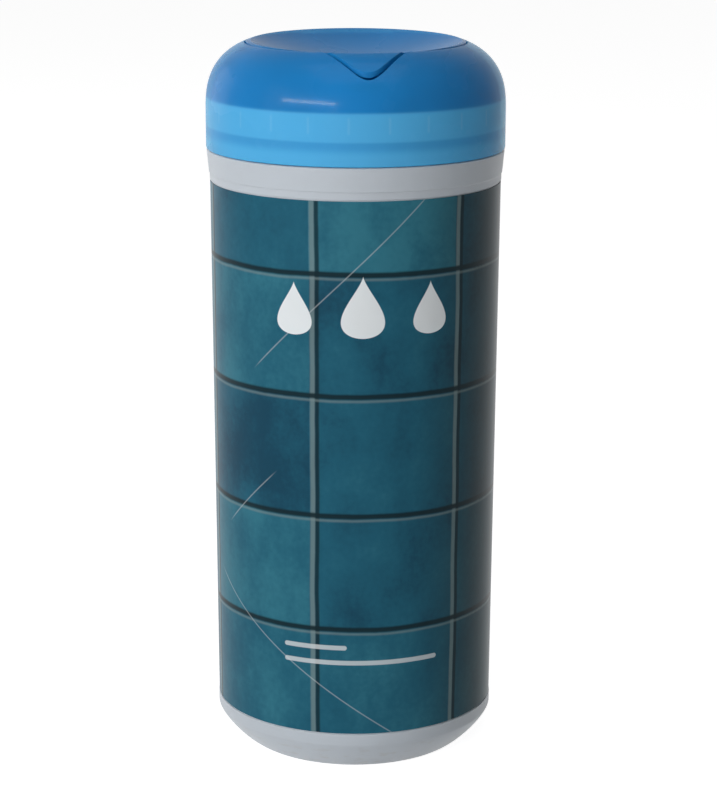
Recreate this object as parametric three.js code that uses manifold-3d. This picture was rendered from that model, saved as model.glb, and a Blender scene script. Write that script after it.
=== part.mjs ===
// A wipes canister: a slightly tapered white canister with a wrapped film label, a push-on dome lid of
// translucent blue plastic, a dished flip cap with a front tab, its living hinge, and the roll of wet wipes
// whose first wipe comes up through the star-cut hole in the lid.
// Millimetres, +Z up. The origin is the centre of the base, and the flip cap's tab faces -Y.

import * as THREE from "three";
import { mergeVertices } from "three/addons/utils/BufferGeometryUtils.js";
import Module from "manifold-3d";

const wasm = await Module();
wasm.setup();

// Fineness of the curved surfaces
const TURN_STEPS = 48; // flats around every round piece
const DOME_STEPS = 10; // steps up the dome's shoulder
const HEEL_STEPS = 6; // steps around the canister's heel
const DISH_STEPS = 7; // steps from the dish's middle to its edge
const OUTLINE_STEPS = 12; // steps along the tab's and the scoop's edge
const FLOOR_STEPS = 6; // steps along the scoop's floor

// Clearances
const SEAT_GAP = 0.2; // under a piece that rests on another
const FIT_GAP = 0.3; // between the lid's inner rings and the neck
const SNAP_GAP = 0.15; // between the lid's snap bead and the neck's band
const SKIRT_GAP = 0.9; // between the lid's skirt and the neck's band, where the bead and the ribs stand
const ROLL_GAP = 0.6; // between the roll and the neck's bore
const HOLE_GAP = 1.1; // between the gathered wipe and its hole
const PARTING_GAP = 0.4; // around the flip cap
const CAP_SEAT_GAP = 0.3; // under the flip cap's rim and its seal ring
const LABEL_GAP = 0.05; // between the label and the panel
const WEB_GAP = 0.05; // between the hinge's web and what it joins

// Roll of wipes
const ROLL_RADIUS = 38.4;
const ROLL_HEIGHT = 178.0; // width of one wipe
const ROLL_CORE_RADIUS = 12.0;
const ROLL_FOOT_INSET = 1.2; // of its lower edge, from the ring that the canister stands on
const ROLL_FOOT_HEIGHT = 5.7; // part of the roll that the heel squeezes in
const ROLL_RIDGES = 4; // turns that stand out on the top
const ROLL_RIDGE_HEIGHT = 1.0;
const STRAND_DEPTH = 13.9; // how far down the core the first wipe leaves the roll
const STRAND_RADIUS = 3.8; // gathered wipe where it passes the hole
const STRAND_BULGE = 6.0; // and where it leaves the roll
const STRAND_FOLDS = 6;
const STRAND_FOLD_DEPTH = 0.12; // share of the strand's radius
const STRAND_SINK = 0.4; // how far its end lies under the collar's rim

// Widths that the roll, the neck, the lid and the panel pass on to one another
const WALL = 1.3;
const NECK_WALL = 2.6;
const NECK_GROOVE_DEPTH = 1.3; // groove under the band
const LID_WALL = 1.5;
const LID_OVERHANG = 0.2; // of the lid over the shoulder
const SHOULDER_STEP = 1.15; // from the shoulder in to the panel's upper end
const PANEL_TAPER = 1.15;
const HEEL_WIDTH = 8.5; // from the panel's lower end in to the ring that it stands on
const NECK_BORE_RADIUS = ROLL_RADIUS + ROLL_GAP;
const NECK_RADIUS = NECK_BORE_RADIUS + NECK_WALL; // band that the lid snaps over
const NECK_GROOVE_RADIUS = NECK_RADIUS - NECK_GROOVE_DEPTH;
const LID_RADIUS = NECK_RADIUS + SKIRT_GAP + LID_WALL;
const SHOULDER_RADIUS = LID_RADIUS - LID_OVERHANG;
const PANEL_TOP_RADIUS = SHOULDER_RADIUS - SHOULDER_STEP;
const PANEL_BOTTOM_RADIUS = PANEL_TOP_RADIUS - PANEL_TAPER;
const BASE_RADIUS = PANEL_BOTTOM_RADIUS - HEEL_WIDTH; // outer edge of the ring that it stands on
const ROLL_FOOT_RADIUS = BASE_RADIUS - ROLL_FOOT_INSET;

// Heights that the roll, the neck and the shoulder pass on to one another
const PUSH_UP_HEIGHT = 2.4; // how far the middle of the base is pushed up
const HEADROOM = 14.5; // from the roll up to the neck's rim
const NECK_HEIGHT = 15.2;
const SHOULDER_HEIGHT = 9.1; // from the panel up to the ledge that the lid stands on
const floorTop = PUSH_UP_HEIGHT + WALL;
const rollBottom = floorTop + SEAT_GAP;
const rollTop = rollBottom + ROLL_HEIGHT;
const NECK_TOP = rollTop + HEADROOM;
const SHOULDER_TOP = NECK_TOP - NECK_HEIGHT;
const PANEL_TOP = SHOULDER_TOP - SHOULDER_HEIGHT; // upper step of the label's recess
const STRAND_FOOT = rollTop - STRAND_DEPTH;

// The rest of the canister
const BASE_RING_WIDTH = 3.2;
const PUSH_UP_SLOPE = 5.0; // width of the slope around the pushed-up middle
const HEEL_HEIGHT = 9.7;
const HEEL_RIM_HEIGHT = 3.3;
const PANEL_BOTTOM = HEEL_HEIGHT + HEEL_RIM_HEIGHT; // lower step of the label's recess
const RECESS_DEPTH = 0.35;
const BAND_HEIGHT = 2.1; // plain band between the label and the shoulder's crease
const CREASE_STEP = 0.25;
const LEDGE_WIDTH = 1.7;
const LEDGE_SLOPE_HEIGHT = 2.2;
const NECK_BAND_HEIGHT = 8.3;
const NECK_BORE_DEPTH = 12.6;
const NECK_EDGE = 0.5; // chamfer on the neck's rim

// Label
const FILM = 0.2;
const LABEL_MARGIN = 0.35; // between the label's edges and the recess's steps
const SEAM_STEP = 23; // flat at the back where the wrap starts, counted from the front
const SEAM_LAP = 2; // flats over which its outer end laps the start

// Lid
const LID_SIDE_HEIGHT = 11.1; // straight side, below the dome's shoulder
const DOME_HEIGHT = 21.8; // from the straight side to the crown
const DOME_CROWN_RADIUS = 14.6; // flat middle of the crown
const DOME_ROUND_OUT = 2.8; // power of the shoulder's curve, outwards
const DOME_ROUND_UP = 2.57; // and upwards
const lidBottom = SHOULDER_TOP + SEAT_GAP;
const domeStart = lidBottom + LID_SIDE_HEIGHT;
const crown = domeStart + DOME_HEIGHT;
const aboveAll = crown + 10;
const SNAP_BEAD_HEIGHT = 3.6;
const GRIP_RIBS = 24; // fine ribs inside the skirt, which steady it on the neck
const GRIP_RIB_WIDTH = 1.0;
const GRIP_RIB_DEPTH = 5.8; // how far they reach below the neck's rim
const GRIP_RIB_HEIGHT = 5.0;
const PLUG_RING_DEPTH = 5.9; // reach into the neck of the ring that seals it
const PLUG_RING_WALL = 1.2;
const CROWN_RING_WIDTH = 11.65; // from the lid's side in to the middle of the gap around the flip cap
const PARTING_RADIUS = LID_RADIUS - CROWN_RING_WIDTH;
const SEAT_WIDTH = 2.05; // of the ledge that the cap's rim rests on
const WELL_RADIUS = PARTING_RADIUS - SEAT_WIDTH;
const WELL_WALL = 1.4;
const DECK_RISE = 0.5; // of the well's floor over the neck's rim
const DECK_TOP = NECK_TOP + DECK_RISE;
const COLLAR_RADIUS = 13.6; // outer radius of the collar around the hole
const COLLAR_WALL = 1.2;
const COLLAR_HEIGHT = 4.9;
const collarTop = DECK_TOP + COLLAR_HEIGHT;
const STRAND_TOP = collarTop - STRAND_SINK;
const HOLE_RADIUS = STRAND_RADIUS + HOLE_GAP; // hole that the wipe comes through
const SLIT_COUNT = 8;
const SLIT_MARGIN = 2.0; // from the ends of the star's slits to the collar
const SLIT_REACH = COLLAR_RADIUS - COLLAR_WALL - SLIT_MARGIN;
const SLIT_WIDTH = 1.0;

// Flip cap
const CAP_WALL = 1.4;
const CAP_BACK_CHAMFER = 0.5; // on the back edge, so that the cap opens past upright
const DISH_DEPTH = 6.0;
const DISH_DROP_FRONT = 2.7; // of the dish's rim below the crown, at the tab
const DISH_DROP_BACK = 1.2; // and at the hinge
const DISH_RIM_FRONT = crown - DISH_DROP_FRONT;
const DISH_RIM_BACK = crown - DISH_DROP_BACK;
const CAP_RIM_HEIGHT = 4.4; // from the ledge in the well up to the dish's rim at the tab
const CAP_SEAT = DISH_RIM_FRONT - CAP_RIM_HEIGHT;

// Living hinge, across the back of the flip cap
const HINGE_INSET = 1.75; // from the gap around the flip cap
const HINGE_SLOT = 1.2;
const HINGE_BACK = PARTING_RADIUS - HINGE_INSET; // edge of the lid behind it
const HINGE_FRONT = HINGE_BACK - HINGE_SLOT; // back edge of the flip cap
const HINGE_DROP = 1.7; // of the flat land behind the hinge, below the dish's rim
const HINGE_LAND = DISH_RIM_BACK - HINGE_DROP;
const HINGE_LAND_DEPTH = 3.2;
const HINGE_LAND_HALF_WIDTH = 14.0;
const WEB_HALF_WIDTH = 10.5;
const WEB_THICKNESS = 0.5;

// Dish, tab and thumb scoop
const DISH_MARGIN_FRONT = 0.35; // from the gap around the flip cap to the dish's edge
const DISH_MARGIN_BACK = 0.9; // and from the cap's back edge
const DISH_FRONT = PARTING_RADIUS - DISH_MARGIN_FRONT;
const DISH_BACK = HINGE_FRONT - DISH_MARGIN_BACK;
const TAB_REACH = 7.35;
const TAB_HALF_WIDTH = 11.0;
const TAB_THICKNESS = 1.6;
const SCOOP_REACH = 8.5;
const SCOOP_HALF_WIDTH = 12.5;
const BELL_POWER = 1.2; // how pointed the tab's and the scoop's bell-shaped edge is
const SCOOP_FLOOR = [
  [0.05 - PARTING_RADIUS, CAP_SEAT],
  [-PARTING_RADIUS - 6.15, CAP_SEAT - 5.8],
  [-LID_RADIUS - 0.5, CAP_SEAT - 1.5],
]; // [y, z] of its floor's curve

// Values that follow from those
const skirtRadius = LID_RADIUS - LID_WALL;
const neckBandBottom = NECK_TOP - NECK_BAND_HEIGHT;
const capRadius = PARTING_RADIUS - PARTING_GAP / 2;
const mouthRadius = PARTING_RADIUS + PARTING_GAP / 2;
const capBottom = CAP_SEAT + CAP_SEAT_GAP;

// Finishes
const finish = (color, roughness) => new THREE.MeshStandardMaterial({ color, roughness, metalness: 0 });
const whitePlastic = finish(0xd9dce0, 0.42);
const bluePlastic = finish(0x2b82c4, 0.3);
const tealFilm = finish(0x1f6270, 0.22);
const wetWipe = finish(0xf1f3f2, 0.9);

const { lerp, smoothstep } = THREE.MathUtils;

// Turns [radius, height] points about Z. Angle 0 is the front, -Y.
function turned(profile) {
  const points = profile.map(([radius, height]) => new THREE.Vector2(radius, height));
  return new THREE.LatheGeometry(points, TURN_STEPS).rotateX(Math.PI / 2);
}

// Stands an outline of [x, y] points up between two heights.
function prism(outline, bottom, top) {
  const shape = new THREE.Shape(outline.map(([x, y]) => new THREE.Vector2(x, y)));
  const depth = top - bottom;
  return new THREE.ExtrudeGeometry(shape, { depth, bevelEnabled: false }).translate(0, 0, bottom);
}

// Runs a side view of [y, z] points across the part, by the same width on both sides.
function slab(sideView, halfWidth) {
  const across = prism(sideView, -halfWidth, halfWidth);
  return across.applyMatrix4(new THREE.Matrix4().set(0, 0, 1, 0, 1, 0, 0, 0, 0, 1, 0, 0, 0, 0, 0, 1));
}

function box(x0, x1, y0, y1, z0, z1) {
  const geometry = new THREE.BoxGeometry(x1 - x0, y1 - y0, z1 - z0);
  return geometry.translate((x0 + x1) / 2, (y0 + y1) / 2, (z0 + z1) / 2);
}

function cylinder(radius, bottom, top) {
  return turned([[0, bottom], [radius, bottom], [radius, top], [0, top]]);
}

function ring(inner, outer, bottom, top) {
  return turned([[inner, bottom], [outer, bottom], [outer, top], [inner, top], [inner, bottom]]);
}

// A closed geometry as a solid that can be joined and cut.
function solid(geometry) {
  const bare = geometry.clone();
  bare.deleteAttribute("normal");
  bare.deleteAttribute("uv");
  const merged = mergeVertices(bare, 1e-4);
  return new wasm.Manifold(
    new wasm.Mesh({
      numProp: 3,
      vertProperties: merged.attributes.position.array,
      triVerts: new Uint32Array(merged.index.array),
    }),
  );
}

// A solid back as a geometry with flat faces.
function geometryOf(body) {
  const mesh = body.getMesh();
  const indexed = new THREE.BufferGeometry();
  const positions = new Float32Array((mesh.vertProperties.length / mesh.numProp) * 3);
  for (let i = 0; i < positions.length / 3; i++)
    for (let axis = 0; axis < 3; axis++)
      positions[3 * i + axis] = mesh.vertProperties[mesh.numProp * i + axis];
  indexed.setAttribute("position", new THREE.BufferAttribute(positions, 3));
  indexed.setIndex(new THREE.BufferAttribute(new Uint32Array(mesh.triVerts), 1));
  const flat = indexed.toNonIndexed();
  flat.computeVertexNormals();
  return flat;
}

function piece(name, geometry, material) {
  const mesh = new THREE.Mesh(geometry, material);
  mesh.name = name;
  return mesh;
}

// The heel, from the ring that the canister stands on up to its side. The inset is the wall's thickness
// for the inside and zero for the outside.
function heel(inset) {
  const sideRadius = PANEL_BOTTOM_RADIUS + RECESS_DEPTH - inset;
  const footRadius = BASE_RADIUS - inset / 2;
  const footHeight = inset > 0 ? floorTop : 0;
  const points = [];
  for (let i = 0; i <= HEEL_STEPS; i++) {
    const angle = (i / HEEL_STEPS) * (Math.PI / 2);
    const out = Math.sin(angle) ** 1.7;
    const up = 1 - Math.cos(angle) ** 1.6;
    points.push([lerp(footRadius, sideRadius, out), lerp(footHeight, HEEL_HEIGHT + inset, up)]);
  }
  return points;
}

function canisterBody() {
  const ringInner = BASE_RADIUS - BASE_RING_WIDTH;
  const bandRadius = PANEL_TOP_RADIUS + RECESS_DEPTH;
  const crease = PANEL_TOP + BAND_HEIGHT;
  const outside = [
    [0, PUSH_UP_HEIGHT],
    [ringInner - PUSH_UP_SLOPE, PUSH_UP_HEIGHT],
    [ringInner, 0],
    ...heel(0),
    [PANEL_BOTTOM_RADIUS + RECESS_DEPTH, PANEL_BOTTOM],
    [PANEL_BOTTOM_RADIUS, PANEL_BOTTOM],
    [PANEL_TOP_RADIUS, PANEL_TOP],
    [bandRadius, PANEL_TOP],
    [bandRadius, crease],
    [bandRadius + CREASE_STEP, crease + CREASE_STEP],
    [SHOULDER_RADIUS, SHOULDER_TOP],
    [SHOULDER_RADIUS - LEDGE_WIDTH, SHOULDER_TOP],
    [NECK_GROOVE_RADIUS, SHOULDER_TOP + LEDGE_SLOPE_HEIGHT],
    [NECK_GROOVE_RADIUS, neckBandBottom],
    [NECK_RADIUS, neckBandBottom],
    [NECK_RADIUS, NECK_TOP - NECK_EDGE],
    [NECK_RADIUS - NECK_EDGE, NECK_TOP],
  ];
  const inside = [
    [NECK_BORE_RADIUS, NECK_TOP],
    [NECK_BORE_RADIUS, NECK_TOP - NECK_BORE_DEPTH],
    [PANEL_TOP_RADIUS - WALL, crease],
    ...heel(WALL).reverse(),
    [0, floorTop],
  ];
  return turned([...outside, ...inside]);
}

// One sheet of film wrapped once around the panel, with its outer end lapped over its start.
function label() {
  const steps = TURN_STEPS + SEAM_LAP;
  const edge = (offset) =>
    Array.from({ length: steps + 1 }, (_, i) => {
      const lift = i < TURN_STEPS ? 0 : FILM + LABEL_GAP;
      const radius = PANEL_TOP_RADIUS + LABEL_GAP + lift + offset;
      const angle = ((SEAM_STEP + i) / TURN_STEPS) * 2 * Math.PI;
      return [radius * Math.sin(angle), -radius * Math.cos(angle)];
    });
  const bottom = PANEL_BOTTOM + LABEL_MARGIN;
  const film = prism([...edge(FILM), ...edge(0).reverse()], bottom, PANEL_TOP - LABEL_MARGIN);
  return tapered(film);
}

// Draws a shape around the upper end of the panel in to the panel's taper.
function tapered(geometry) {
  const position = geometry.attributes.position;
  for (let i = 0; i < position.count; i++) {
    const [x, y, z] = [position.getX(i), position.getY(i), position.getZ(i)];
    const share = (z - PANEL_BOTTOM) / (PANEL_TOP - PANEL_BOTTOM);
    const radius = Math.hypot(x, y);
    const drawn = radius - (1 - share) * (PANEL_TOP_RADIUS - PANEL_BOTTOM_RADIUS);
    position.setXY(i, (x * drawn) / radius, (y * drawn) / radius);
  }
  geometry.computeVertexNormals();
  return geometry;
}

// The dome as [radius, height] points from its side up to its crown, taken in by the inset.
function dome(inset) {
  const points = [];
  for (let i = 0; i <= DOME_STEPS; i++) {
    const angle = (i / DOME_STEPS) * (Math.PI / 2);
    const out = Math.max(Math.cos(angle), 0) ** (2 / DOME_ROUND_OUT);
    const up = Math.sin(angle) ** (2 / DOME_ROUND_UP);
    points.push([
      lerp(DOME_CROWN_RADIUS, LID_RADIUS - inset, out),
      lerp(domeStart, crown - inset, up),
    ]);
  }
  return points;
}

// All the room under the dome's surface, from a height up.
function underDome(inset, bottom) {
  const top = crown - inset;
  return solid(turned([[0, bottom], [LID_RADIUS - inset, bottom], ...dome(inset), [0, top]]));
}

// The outline of a round opening with a bell-shaped reach at its front.
function bellOutline(radius, reach, halfWidth) {
  const start = Math.asin(halfWidth / radius) + 0.03;
  const points = [];
  for (let i = 0; i <= OUTLINE_STEPS; i++) {
    const x = lerp(halfWidth, -halfWidth, i / OUTLINE_STEPS);
    const bell = Math.max(Math.cos((Math.PI * x) / (2 * halfWidth)), 0) ** BELL_POWER;
    points.push([x, -Math.sqrt(radius ** 2 - x ** 2) - reach * bell]);
  }
  for (let i = 1; i < TURN_STEPS; i++) {
    const angle = (i / TURN_STEPS) * 2 * Math.PI;
    if (angle > start && angle < 2 * Math.PI - start)
      points.push([-radius * Math.sin(angle), -radius * Math.cos(angle)]);
  }
  return points;
}

// The room of the thumb scoop, made larger by a thickness.
function scoop(grown) {
  const floor = new THREE.QuadraticBezierCurve(
    ...SCOOP_FLOOR.map(([y, z]) => new THREE.Vector2(y, z - grown)),
  );
  const line = floor.getPoints(FLOOR_STEPS).map((point) => [point.x, point.y]);
  const front = -LID_RADIUS - 5;
  const back = SCOOP_FLOOR[0][0] + 6;
  const above = slab([...line, [front, aboveAll], [back, aboveAll], [back, line[0][1]]], LID_RADIUS);
  const outline = bellOutline(mouthRadius, SCOOP_REACH + grown, SCOOP_HALF_WIDTH + grown);
  return solid(prism(outline, DECK_TOP, aboveAll)).intersect(solid(above));
}

// What the well's walls, ledge and deck are cut from, with the plug ring around them.
function wellBlock() {
  const lower = WELL_RADIUS + WELL_WALL;
  const upper = mouthRadius + WELL_WALL;
  const ledge = CAP_SEAT - WELL_WALL;
  const deckBottom = DECK_TOP - WELL_WALL;
  const block = turned([
    [0, deckBottom],
    [lower, deckBottom],
    [lower, ledge - (upper - lower)],
    [upper, ledge],
    [upper, aboveAll],
    [0, aboveAll],
  ]);
  const plugRadius = NECK_BORE_RADIUS - FIT_GAP;
  const plug = ring(plugRadius - PLUG_RING_WALL, plugRadius, NECK_TOP - PLUG_RING_DEPTH, aboveAll);
  return solid(block).add(solid(plug));
}

// The well itself, with the flip cap's mouth above its ledge.
function well() {
  const mouth = solid(cylinder(mouthRadius, CAP_SEAT, aboveAll));
  const behind = box(-LID_RADIUS, LID_RADIUS, HINGE_BACK, LID_RADIUS, CAP_SEAT - 1, aboveAll + 1);
  const lower = turned([
    [0, collarTop],
    [COLLAR_RADIUS, collarTop],
    [COLLAR_RADIUS, DECK_TOP],
    [WELL_RADIUS, DECK_TOP],
    [WELL_RADIUS, CAP_SEAT + 1],
    [0, CAP_SEAT + 1],
  ]);
  return mouth.subtract(solid(behind)).add(solid(lower));
}

// The collar's bore and the star-cut hole in the deck.
function starHole() {
  const bottom = DECK_TOP - WELL_WALL - 1;
  const top = DECK_TOP + 1;
  let cut = solid(cylinder(COLLAR_RADIUS - COLLAR_WALL, DECK_TOP, collarTop + 1));
  cut = cut.add(solid(cylinder(HOLE_RADIUS, bottom, top)));
  for (let i = 0; i < SLIT_COUNT; i++) {
    const slit = box(0, SLIT_REACH, -SLIT_WIDTH / 2, SLIT_WIDTH / 2, bottom, top);
    cut = cut.add(solid(slit.rotateZ(((i + 0.5) / SLIT_COUNT) * 2 * Math.PI)));
  }
  return cut;
}

// The bead and the ribs inside the skirt.
function skirtDetails() {
  const beadTop = neckBandBottom - FIT_GAP;
  const beadRadius = NECK_RADIUS + SNAP_GAP;
  const within = skirtRadius + LID_WALL / 2;
  let details = solid(
    turned([
      [within, beadTop - SNAP_BEAD_HEIGHT],
      [within, beadTop],
      [skirtRadius, beadTop],
      [beadRadius, beadTop - SNAP_BEAD_HEIGHT / 4],
      [beadRadius, beadTop - SNAP_BEAD_HEIGHT / 2],
      [skirtRadius, beadTop - SNAP_BEAD_HEIGHT],
      [within, beadTop - SNAP_BEAD_HEIGHT],
    ]),
  );
  const ribFace = NECK_RADIUS + FIT_GAP;
  const ribBottom = NECK_TOP - GRIP_RIB_DEPTH;
  const ribTop = ribBottom + GRIP_RIB_HEIGHT;
  const half = GRIP_RIB_WIDTH / 2;
  for (let i = 0; i < GRIP_RIBS; i++) {
    const rib = box(-half, half, -within, -ribFace, ribBottom, ribTop);
    details = details.add(solid(rib.rotateZ(((i + 0.5) / GRIP_RIBS) * 2 * Math.PI)));
  }
  return details;
}

function hingeLand() {
  const half = HINGE_LAND_HALF_WIDTH;
  return solid(box(-half, half, HINGE_BACK - 1, HINGE_BACK + HINGE_LAND_DEPTH, HINGE_LAND, aboveAll));
}

function lid() {
  const outside = underDome(0, lidBottom);
  const shell = outside.subtract(underDome(LID_WALL, lidBottom - 1));
  const inner = wellBlock().add(scoop(LID_WALL)).intersect(outside);
  const block = shell.add(inner).add(skirtDetails());
  return geometryOf(block.subtract(well()).subtract(scoop(0)).subtract(starHole()).subtract(hingeLand()));
}

// The ball that hollows the dish, made larger by a thickness. It leans towards the tab.
function dishBall(grown) {
  const reach = (DISH_FRONT + DISH_BACK) / 2;
  const radius = (reach ** 2 + DISH_DEPTH ** 2) / (2 * DISH_DEPTH);
  const lean = Math.atan((DISH_RIM_BACK - DISH_RIM_FRONT) / (2 * reach));
  const span = Math.asin((reach + 8) / radius);
  const points = [];
  for (let i = 0; i <= DISH_STEPS; i++) {
    const angle = (i / DISH_STEPS) * span;
    points.push([(radius + grown) * Math.sin(angle), -(radius + grown) * Math.cos(angle)]);
  }
  const top = -radius * 0.7;
  const ball = turned([...points, [points.at(-1)[0], top], [0, top]]);
  ball.translate(0, 0, radius - DISH_DEPTH).rotateX(lean);
  return solid(ball.translate(0, (DISH_BACK - DISH_FRONT) / 2, (DISH_RIM_FRONT + DISH_RIM_BACK) / 2));
}

// What lies behind the flip cap's back edge, with that edge's chamfer.
function behindCap() {
  const top = DISH_RIM_BACK + 1;
  const sideView = [
    [HINGE_FRONT, DECK_TOP],
    [LID_RADIUS, DECK_TOP],
    [LID_RADIUS, top],
    [HINGE_FRONT - CAP_BACK_CHAMFER - 1, top],
    [HINGE_FRONT, DISH_RIM_BACK - CAP_BACK_CHAMFER],
  ];
  return solid(slab(sideView, LID_RADIUS));
}

// The tab, which follows the dome and is as thick all over.
function tab() {
  const bottom = CAP_SEAT - 5;
  const outline = solid(prism(bellOutline(capRadius, TAB_REACH, TAB_HALF_WIDTH), bottom, aboveAll));
  const front = box(-TAB_HALF_WIDTH, TAB_HALF_WIDTH, -LID_RADIUS, 2 - capRadius, bottom, aboveAll);
  const under = underDome(0, lidBottom).translate(0, 0, -TAB_THICKNESS);
  return outline.intersect(solid(front)).intersect(underDome(0, lidBottom)).subtract(under);
}

// The room inside the cap, between its rim's wall and under its dished top.
function capInside() {
  const bottom = CAP_SEAT - 6;
  const dished = underDome(0, lidBottom).translate(0, 0, -CAP_WALL).subtract(dishBall(CAP_WALL));
  const behind = box(-LID_RADIUS, LID_RADIUS, HINGE_FRONT - CAP_WALL, LID_RADIUS, bottom, aboveAll);
  const round = solid(cylinder(capRadius - CAP_WALL, bottom + 1, aboveAll));
  return round.subtract(solid(behind)).intersect(dished);
}

// The dish's own skin, with the ring that closes on the collar's top.
function dishSkin() {
  const within = solid(cylinder(capRadius - CAP_WALL / 2, DECK_TOP, aboveAll));
  const skin = dishBall(CAP_WALL).intersect(within);
  const seal = ring(COLLAR_RADIUS - COLLAR_WALL, COLLAR_RADIUS, collarTop + CAP_SEAT_GAP, DISH_RIM_FRONT);
  return skin.add(solid(seal));
}

function flipCap() {
  const outside = underDome(0, lidBottom);
  const round = solid(cylinder(capRadius, capBottom, aboveAll)).subtract(capInside());
  const block = round.add(dishSkin()).intersect(outside).add(tab());
  return geometryOf(block.subtract(dishBall(0)).subtract(behindCap()));
}

// The thin web that bends, between the cap's back edge and the lid.
function livingHinge() {
  const front = HINGE_FRONT + WEB_GAP;
  const back = HINGE_BACK - WEB_GAP;
  return box(-WEB_HALF_WIDTH, WEB_HALF_WIDTH, front, back, HINGE_LAND - WEB_THICKNESS, HINGE_LAND);
}

// The roll's top, where the edges of a roll's turns stand in ridges.
function rollTopEdge() {
  const points = [];
  const steps = 2 * ROLL_RIDGES;
  for (let i = 0; i <= steps; i++) {
    const radius = lerp(ROLL_RADIUS - 0.8, ROLL_CORE_RADIUS + 0.8, i / steps);
    points.push([radius, rollTop - (i % 2 === 0 ? ROLL_RIDGE_HEIGHT : 0)]);
  }
  return points;
}

// The first wipe, gathered in folds, from the core's side up through the lid's hole.
function strand() {
  const geometry = turned([
    [0, STRAND_FOOT],
    [STRAND_RADIUS - 1, STRAND_FOOT],
    [STRAND_BULGE - 1, rollTop - 5],
    [STRAND_BULGE, rollTop + 1],
    [STRAND_RADIUS, NECK_TOP - 5],
    [STRAND_RADIUS, STRAND_TOP - 2],
    [STRAND_RADIUS - 1, STRAND_TOP],
    [0, STRAND_TOP - 0.5],
  ]);
  const position = geometry.attributes.position;
  for (let i = 0; i < position.count; i++) {
    const [x, y, z] = [position.getX(i), position.getY(i), position.getZ(i)];
    const fold = 1 + STRAND_FOLD_DEPTH * Math.cos(STRAND_FOLDS * Math.atan2(y, x));
    const aside = (1 - smoothstep(z, STRAND_FOOT, NECK_TOP - 4)) * (ROLL_CORE_RADIUS - 1);
    position.setXY(i, x * fold + aside, y * fold);
  }
  return geometry;
}

function wipesRoll() {
  const roll = turned([
    [ROLL_CORE_RADIUS, rollBottom],
    [ROLL_FOOT_RADIUS, rollBottom],
    [ROLL_RADIUS, rollBottom + ROLL_FOOT_HEIGHT],
    [ROLL_RADIUS, rollTop - ROLL_RIDGE_HEIGHT],
    ...rollTopEdge(),
    [ROLL_CORE_RADIUS, rollTop - ROLL_RIDGE_HEIGHT],
    [ROLL_CORE_RADIUS, rollBottom],
  ]);
  return geometryOf(solid(roll).add(solid(strand())));
}

const group = new THREE.Group();
group.add(
  piece("canister_body", canisterBody(), whitePlastic),
  piece("label", label(), tealFilm),
  piece("wipes_roll", wipesRoll(), wetWipe),
  piece("lid", lid(), bluePlastic),
  piece("flip_cap", flipCap(), bluePlastic),
  piece("living_hinge", livingHinge(), bluePlastic),
);

export default group;
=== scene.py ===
"""A wipes canister with a wrapped tile print, a translucent dome lid and a dished flip cap."""

import logging
import math
from collections.abc import Callable, Iterable, Sequence
from dataclasses import dataclass, field
from enum import Enum

import bmesh
import bpy
from mathutils import Matrix, Vector


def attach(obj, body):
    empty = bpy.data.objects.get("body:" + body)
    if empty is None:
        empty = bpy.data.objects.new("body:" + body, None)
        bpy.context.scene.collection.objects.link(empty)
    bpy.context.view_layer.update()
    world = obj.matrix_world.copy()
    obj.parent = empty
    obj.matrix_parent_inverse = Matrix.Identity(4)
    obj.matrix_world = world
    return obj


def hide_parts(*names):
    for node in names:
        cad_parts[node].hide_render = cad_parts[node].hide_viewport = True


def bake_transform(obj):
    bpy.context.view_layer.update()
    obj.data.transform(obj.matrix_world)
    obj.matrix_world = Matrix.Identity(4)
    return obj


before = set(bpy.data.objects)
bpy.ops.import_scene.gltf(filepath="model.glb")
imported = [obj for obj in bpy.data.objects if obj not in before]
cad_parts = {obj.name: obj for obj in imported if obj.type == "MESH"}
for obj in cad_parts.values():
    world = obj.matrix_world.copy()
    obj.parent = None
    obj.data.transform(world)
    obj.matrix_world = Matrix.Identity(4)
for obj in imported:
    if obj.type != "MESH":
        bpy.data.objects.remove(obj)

MM = 0.001
# Flats around a turned solid, and heights in mm below and above all that is cut in the closure
FLATS = 144
LOW_CLEAR = 190.0
HIGH_CLEAR = 230.0
LOG = logging.getLogger("wipes_canister")
Profile = Sequence[tuple[float, float]]
Points = list[tuple[float, float]]
Triple = tuple[float, float, float]
Piece = bpy.types.Object
Material = bpy.types.Material
Node = bpy.types.ShaderNode
Socket = bpy.types.NodeSocket
Tone = Socket | Sequence[float]


class Join(Enum):
    """The ways in which one solid changes another."""

    ADD = "UNION"
    CUT = "DIFFERENCE"
    KEEP = "INTERSECT"


class Body(Enum):
    """The bodies of the frame that the pieces ride."""

    CANISTER = "canister"
    CLOSURE = "closure"
    CAP = "cap"


# Bench


def clear_selection() -> None:
    """Goes to object mode with nothing selected."""
    active = bpy.context.view_layer.objects.active
    if active is not None and active.mode != "OBJECT":
        bpy.ops.object.mode_set(mode="OBJECT")
    bpy.ops.object.select_all(action="DESELECT")


def choose(piece: Piece) -> None:
    """Selects one piece alone and makes it active."""
    clear_selection()
    piece.select_set(True)
    bpy.context.view_layer.objects.active = piece


def enter_edit(piece: Piece, mode: str = "VERT") -> bmesh.types.BMesh:
    """Opens a piece in edit mode with nothing selected.

    Args:
        piece: The piece to open.
        mode: The kind of element that is selected, as Blender names it.

    Returns:
        The edit mesh.
    """
    choose(piece)
    bpy.ops.object.mode_set(mode="EDIT")
    bpy.ops.mesh.select_mode(type=mode)
    bpy.ops.mesh.select_all(action="DESELECT")
    return bmesh.from_edit_mesh(piece.data)


def leave_edit() -> None:
    """Goes back to object mode."""
    bpy.ops.object.mode_set(mode="OBJECT")


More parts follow.
